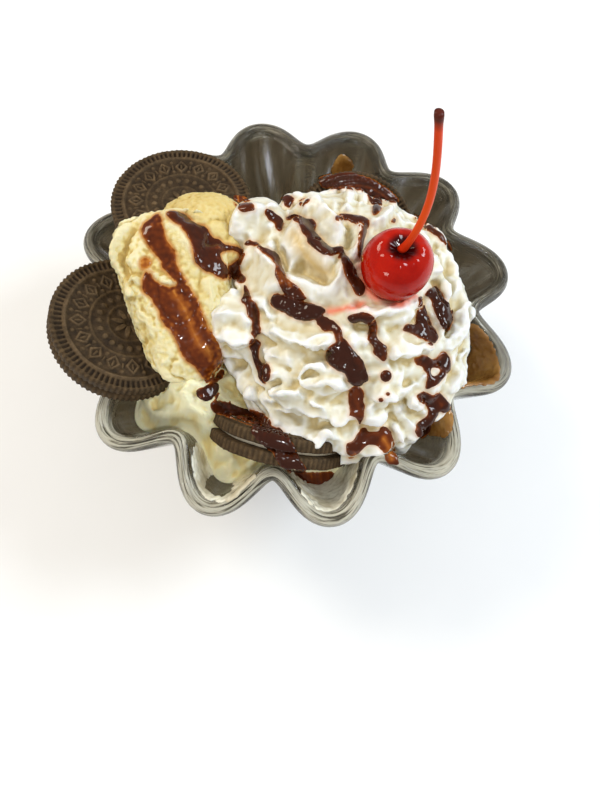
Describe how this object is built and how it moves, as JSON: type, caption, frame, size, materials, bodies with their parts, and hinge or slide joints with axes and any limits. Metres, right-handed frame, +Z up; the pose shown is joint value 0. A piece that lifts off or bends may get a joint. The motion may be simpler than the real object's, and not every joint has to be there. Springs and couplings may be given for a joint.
{
  "type": "ice cream sundae",
  "caption": "Ice cream sundae in a lobed glass dish: vanilla ice cream, piped whipped cream with chocolate sauce, sandwich cookies and a cherry.",
  "frame": {"origin": "centre of the flat underside of the dish's foot", "axes": "+Z up; -Y is the front, the side the picture was taken from; +X to the viewer's right"},
  "size_m": [0.147, 0.147, 0.1541],
  "materials": {
    "glass": "thick pressed glass, clear with a grey tint, smooth",
    "ice_cream": "pale vanilla ice cream, fine crumbly grain, moist",
    "whipped_cream": "whipped cream, soft ivory white, satin",
    "cookie_wafer": "dark cocoa wafer, dry and matt, embossed",
    "cookie_filling": "off-white sugar cream, matt",
    "cherry": "wet syrupy red cherry skin",
    "cherry_stem": "dyed orange-red stem, satin",
    "chocolate_sauce": "dark chocolate syrup, wet, amber where thin"
  },
  "bodies": {
    "root": {"glass_dish": "glass", "ice_cream_base": "ice_cream", "ice_cream_scoop_front": "ice_cream", "ice_cream_scoop_rear": "ice_cream", "whipped_cream": "whipped_cream", "cookie_left_wafer_top": "cookie_wafer", "cookie_left_filling": "cookie_filling", "cookie_left_wafer_bottom": "cookie_wafer", "cookie_rear_left_wafer_top": "cookie_wafer", "cookie_rear_left_filling": "cookie_filling", "cookie_rear_left_wafer_bottom": "cookie_wafer", "cookie_front_wafer_top": "cookie_wafer", "cookie_front_filling": "cookie_filling", "cookie_front_wafer_bottom": "cookie_wafer", "cookie_rear_wafer_top": "cookie_wafer", "cookie_rear_filling": "cookie_filling", "cookie_rear_wafer_bottom": "cookie_wafer", "cherry": "cherry", "cherry_stem": "cherry_stem"}
  },
  "joints": []
}
